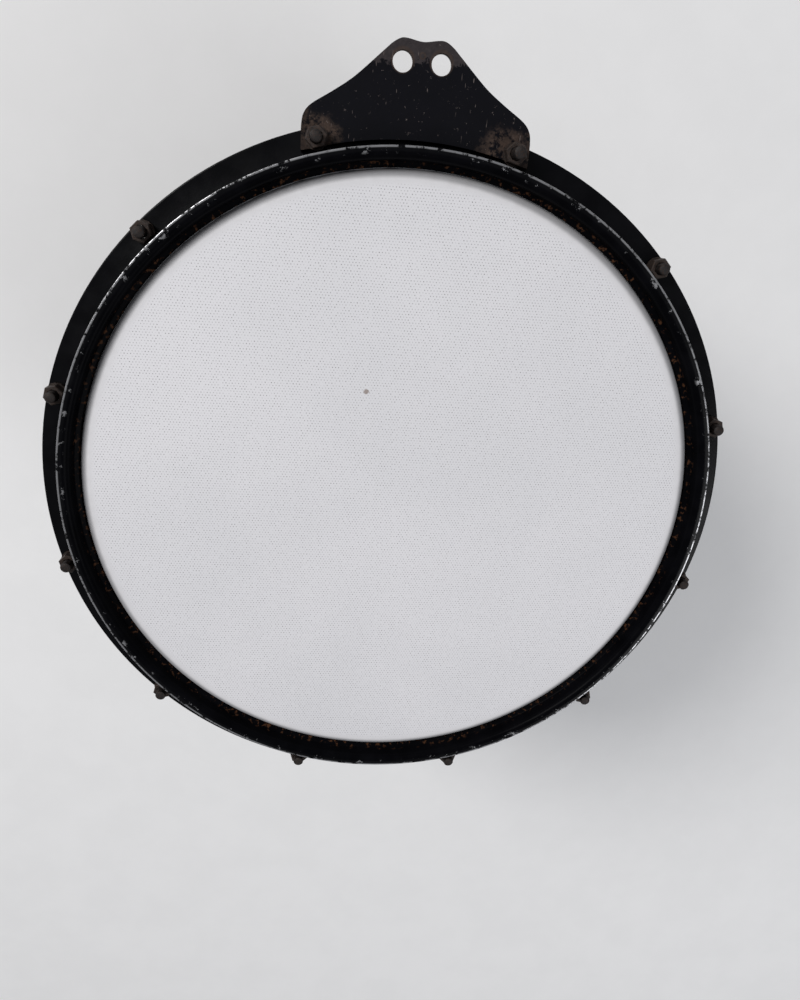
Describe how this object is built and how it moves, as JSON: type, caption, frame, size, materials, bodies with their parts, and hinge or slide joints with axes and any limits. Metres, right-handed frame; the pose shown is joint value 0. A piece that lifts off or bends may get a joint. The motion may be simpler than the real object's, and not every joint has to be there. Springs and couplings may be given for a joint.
{
  "type": "marching snare drum",
  "caption": "Marching snare drum with tension posts, high-tension cast hoops, woven batter head, sling plate with two holes, and a snare throw-off.",
  "frame": {"origin": "centre of the batter head's playing face", "axes": "+Z along the drum's axis out of the batter head, +Y through the middle of the sling plate, snares along X with the throw-off at -X"},
  "size_m": [0.4466, 0.4388, 0.3285],
  "materials": {
    "shell_lacquer": "gloss black lacquer on birch ply",
    "brass": "polished",
    "batter_film": "white woven film, matt",
    "snare_film": "hazy clear film",
    "bare_aluminium": "satin",
    "black_aluminium": "satin black, worn to bright metal on the rim's edge",
    "worn_steel": "black, worn and rusted at the edges",
    "black_post": "satin black",
    "rusted_nut": "rusted",
    "zinc_bolt": "zinc plated",
    "plated_steel": "plated",
    "gut": "plain strand"
  },
  "bodies": {
    "drum": {"batter_flesh_hoop": "bare_aluminium", "batter_head": "batter_film", "batter_hoop": "black_aluminium", "butt_base": "black_aluminium", "lever_pin": "plated_steel", "shell": "shell_lacquer", "sling_plate": "worn_steel", "snare_flesh_hoop": "bare_aluminium", "snare_head": "snare_film", "snare_hoop": "black_aluminium", "strainer_base": "black_aluminium", "tension_post_01": "black_post", "tension_post_02": "black_post", "tension_post_03": "black_post", "tension_post_04": "black_post", "tension_post_05": "black_post", "tension_post_06": "black_post", "tension_post_07": "black_post", "tension_post_08": "black_post", "tension_post_09": "black_post", "tension_post_10": "black_post", "tension_post_11": "black_post", "tension_post_12": "black_post", "vent_grommet": "brass"},
    "lever": {"throw_off_lever": "plated_steel"},
    "carriage": {"strainer_carriage": "plated_steel"},
    "snares": {"snare_strands": "gut"},
    "clamp": {"butt_clamp": "plated_steel"},
    "knob": {"tension_knob": "plated_steel"},
    "batter_nut_01": {"batter_nut_01": "rusted_nut"},
    "snare_bolt_01": {"snare_bolt_01": "zinc_bolt"},
    "batter_nut_02": {"batter_nut_02": "rusted_nut"},
    "snare_bolt_02": {"snare_bolt_02": "zinc_bolt"},
    "batter_nut_03": {"batter_nut_03": "rusted_nut"},
    "snare_bolt_03": {"snare_bolt_03": "zinc_bolt"},
    "batter_nut_04": {"batter_nut_04": "rusted_nut"},
    "snare_bolt_04": {"snare_bolt_04": "zinc_bolt"},
    "batter_nut_05": {"batter_nut_05": "rusted_nut"},
    "snare_bolt_05": {"snare_bolt_05": "zinc_bolt"},
    "batter_nut_06": {"batter_nut_06": "rusted_nut"},
    "snare_bolt_06": {"snare_bolt_06": "zinc_bolt"},
    "batter_nut_07": {"batter_nut_07": "rusted_nut"},
    "snare_bolt_07": {"snare_bolt_07": "zinc_bolt"},
    "batter_nut_08": {"batter_nut_08": "rusted_nut"},
    "snare_bolt_08": {"snare_bolt_08": "zinc_bolt"},
    "batter_nut_09": {"batter_nut_09": "rusted_nut"},
    "snare_bolt_09": {"snare_bolt_09": "zinc_bolt"},
    "batter_nut_10": {"batter_nut_10": "rusted_nut"},
    "snare_bolt_10": {"snare_bolt_10": "zinc_bolt"},
    "batter_nut_11": {"batter_nut_11": "rusted_nut"},
    "snare_bolt_11": {"snare_bolt_11": "zinc_bolt"},
    "batter_nut_12": {"batter_nut_12": "rusted_nut"},
    "snare_bolt_12": {"snare_bolt_12": "zinc_bolt"}
  },
  "joints": [
    {"name": "batter_nut_01_turn", "type": "hinge", "parent": "drum", "child": "batter_nut_01", "pos_m": [0.18932, 0.05073, -0.0095], "axis": [0, 0, 1], "continuous": true},
    {"name": "snare_bolt_01_turn", "type": "hinge", "parent": "drum", "child": "snare_bolt_01", "pos_m": [0.18932, 0.05073, -0.2974], "axis": [0, 0, 1], "continuous": true},
    {"name": "batter_nut_02_turn", "type": "hinge", "parent": "drum", "child": "batter_nut_02", "pos_m": [0.13859, 0.13859, -0.0095], "axis": [0, 0, 1], "continuous": true},
    {"name": "snare_bolt_02_turn", "type": "hinge", "parent": "drum", "child": "snare_bolt_02", "pos_m": [0.13859, 0.13859, -0.2974], "axis": [0, 0, 1], "continuous": true},
    {"name": "batter_nut_03_turn", "type": "hinge", "parent": "drum", "child": "batter_nut_03", "pos_m": [0.05073, 0.18932, -0.0095], "axis": [0, 0, 1], "continuous": true},
    {"name": "snare_bolt_03_turn", "type": "hinge", "parent": "drum", "child": "snare_bolt_03", "pos_m": [0.05073, 0.18932, -0.2974], "axis": [0, 0, 1], "continuous": true},
    {"name": "batter_nut_04_turn", "type": "hinge", "parent": "drum", "child": "batter_nut_04", "pos_m": [-0.05073, 0.18932, -0.0095], "axis": [0, 0, 1], "continuous": true},
    {"name": "snare_bolt_04_turn", "type": "hinge", "parent": "drum", "child": "snare_bolt_04", "pos_m": [-0.05073, 0.18932, -0.2974], "axis": [0, 0, 1], "continuous": true},
    {"name": "batter_nut_05_turn", "type": "hinge", "parent": "drum", "child": "batter_nut_05", "pos_m": [-0.13859, 0.13859, -0.0095], "axis": [0, 0, 1], "continuous": true},
    {"name": "snare_bolt_05_turn", "type": "hinge", "parent": "drum", "child": "snare_bolt_05", "pos_m": [-0.13859, 0.13859, -0.2974], "axis": [0, 0, 1], "continuous": true},
    {"name": "batter_nut_06_turn", "type": "hinge", "parent": "drum", "child": "batter_nut_06", "pos_m": [-0.18932, 0.05073, -0.0095], "axis": [0, 0, 1], "continuous": true},
    {"name": "snare_bolt_06_turn", "type": "hinge", "parent": "drum", "child": "snare_bolt_06", "pos_m": [-0.18932, 0.05073, -0.2974], "axis": [0, 0, 1], "continuous": true},
    {"name": "batter_nut_07_turn", "type": "hinge", "parent": "drum", "child": "batter_nut_07", "pos_m": [-0.18932, -0.05073, -0.0095], "axis": [0, 0, 1], "continuous": true},
    {"name": "snare_bolt_07_turn", "type": "hinge", "parent": "drum", "child": "snare_bolt_07", "pos_m": [-0.18932, -0.05073, -0.2974], "axis": [0, 0, 1], "continuous": true},
    {"name": "batter_nut_08_turn", "type": "hinge", "parent": "drum", "child": "batter_nut_08", "pos_m": [-0.13859, -0.13859, -0.0095], "axis": [0, 0, 1], "continuous": true},
    {"name": "snare_bolt_08_turn", "type": "hinge", "parent": "drum", "child": "snare_bolt_08", "pos_m": [-0.13859, -0.13859, -0.2974], "axis": [0, 0, 1], "continuous": true},
    {"name": "batter_nut_09_turn", "type": "hinge", "parent": "drum", "child": "batter_nut_09", "pos_m": [-0.05073, -0.18932, -0.0095], "axis": [0, 0, 1], "continuous": true},
    {"name": "snare_bolt_09_turn", "type": "hinge", "parent": "drum", "child": "snare_bolt_09", "pos_m": [-0.05073, -0.18932, -0.2974], "axis": [0, 0, 1], "continuous": true},
    {"name": "batter_nut_10_turn", "type": "hinge", "parent": "drum", "child": "batter_nut_10", "pos_m": [0.05073, -0.18932, -0.0095], "axis": [0, 0, 1], "continuous": true},
    {"name": "snare_bolt_10_turn", "type": "hinge", "parent": "drum", "child": "snare_bolt_10", "pos_m": [0.05073, -0.18932, -0.2974], "axis": [0, 0, 1], "continuous": true},
    {"name": "batter_nut_11_turn", "type": "hinge", "parent": "drum", "child": "batter_nut_11", "pos_m": [0.13859, -0.13859, -0.0095], "axis": [0, 0, 1], "continuous": true},
    {"name": "snare_bolt_11_turn", "type": "hinge", "parent": "drum", "child": "snare_bolt_11", "pos_m": [0.13859, -0.13859, -0.2974], "axis": [0, 0, 1], "continuous": true},
    {"name": "batter_nut_12_turn", "type": "hinge", "parent": "drum", "child": "batter_nut_12", "pos_m": [0.18932, -0.05073, -0.0095], "axis": [0, 0, 1], "continuous": true},
    {"name": "snare_bolt_12_turn", "type": "hinge", "parent": "drum", "child": "snare_bolt_12", "pos_m": [0.18932, -0.05073, -0.2974], "axis": [0, 0, 1], "continuous": true},
    {"name": "lever_turn", "type": "hinge", "parent": "drum", "child": "lever", "pos_m": [-0.2109, 0, -0.231], "axis": [0, -1, 0], "range_deg": [0, 90]},
    {"name": "carriage_slide", "type": "slide", "parent": "drum", "child": "carriage", "axis": [0, 0, -1], "range_m": [0, 0.0051]},
    {"name": "snare_swing", "type": "hinge", "parent": "drum", "child": "snares", "pos_m": [0.1983, 0, -0.3081], "axis": [0, -1, 0], "range_deg": [0, 0.74]},
    {"name": "knob_turn", "type": "hinge", "parent": "drum", "child": "knob", "pos_m": [0.2138, 0, -0.3081], "axis": [1, 0, 0], "range_deg": [0, 360]},
    {"name": "clamp_slide", "type": "slide", "parent": "drum", "child": "clamp", "axis": [-1, 0, 0], "range_m": [0, 0.0011]}
  ],
  "couplings": [
    {"joint": "carriage_slide", "follows": "lever_turn", "m_per_rad": 0.0031831},
    {"joint": "snare_swing", "follows": "lever_turn", "ratio": 0.0080749},
    {"joint": "clamp_slide", "follows": "knob_turn", "m_per_rad": 0.00015915}
  ]
}
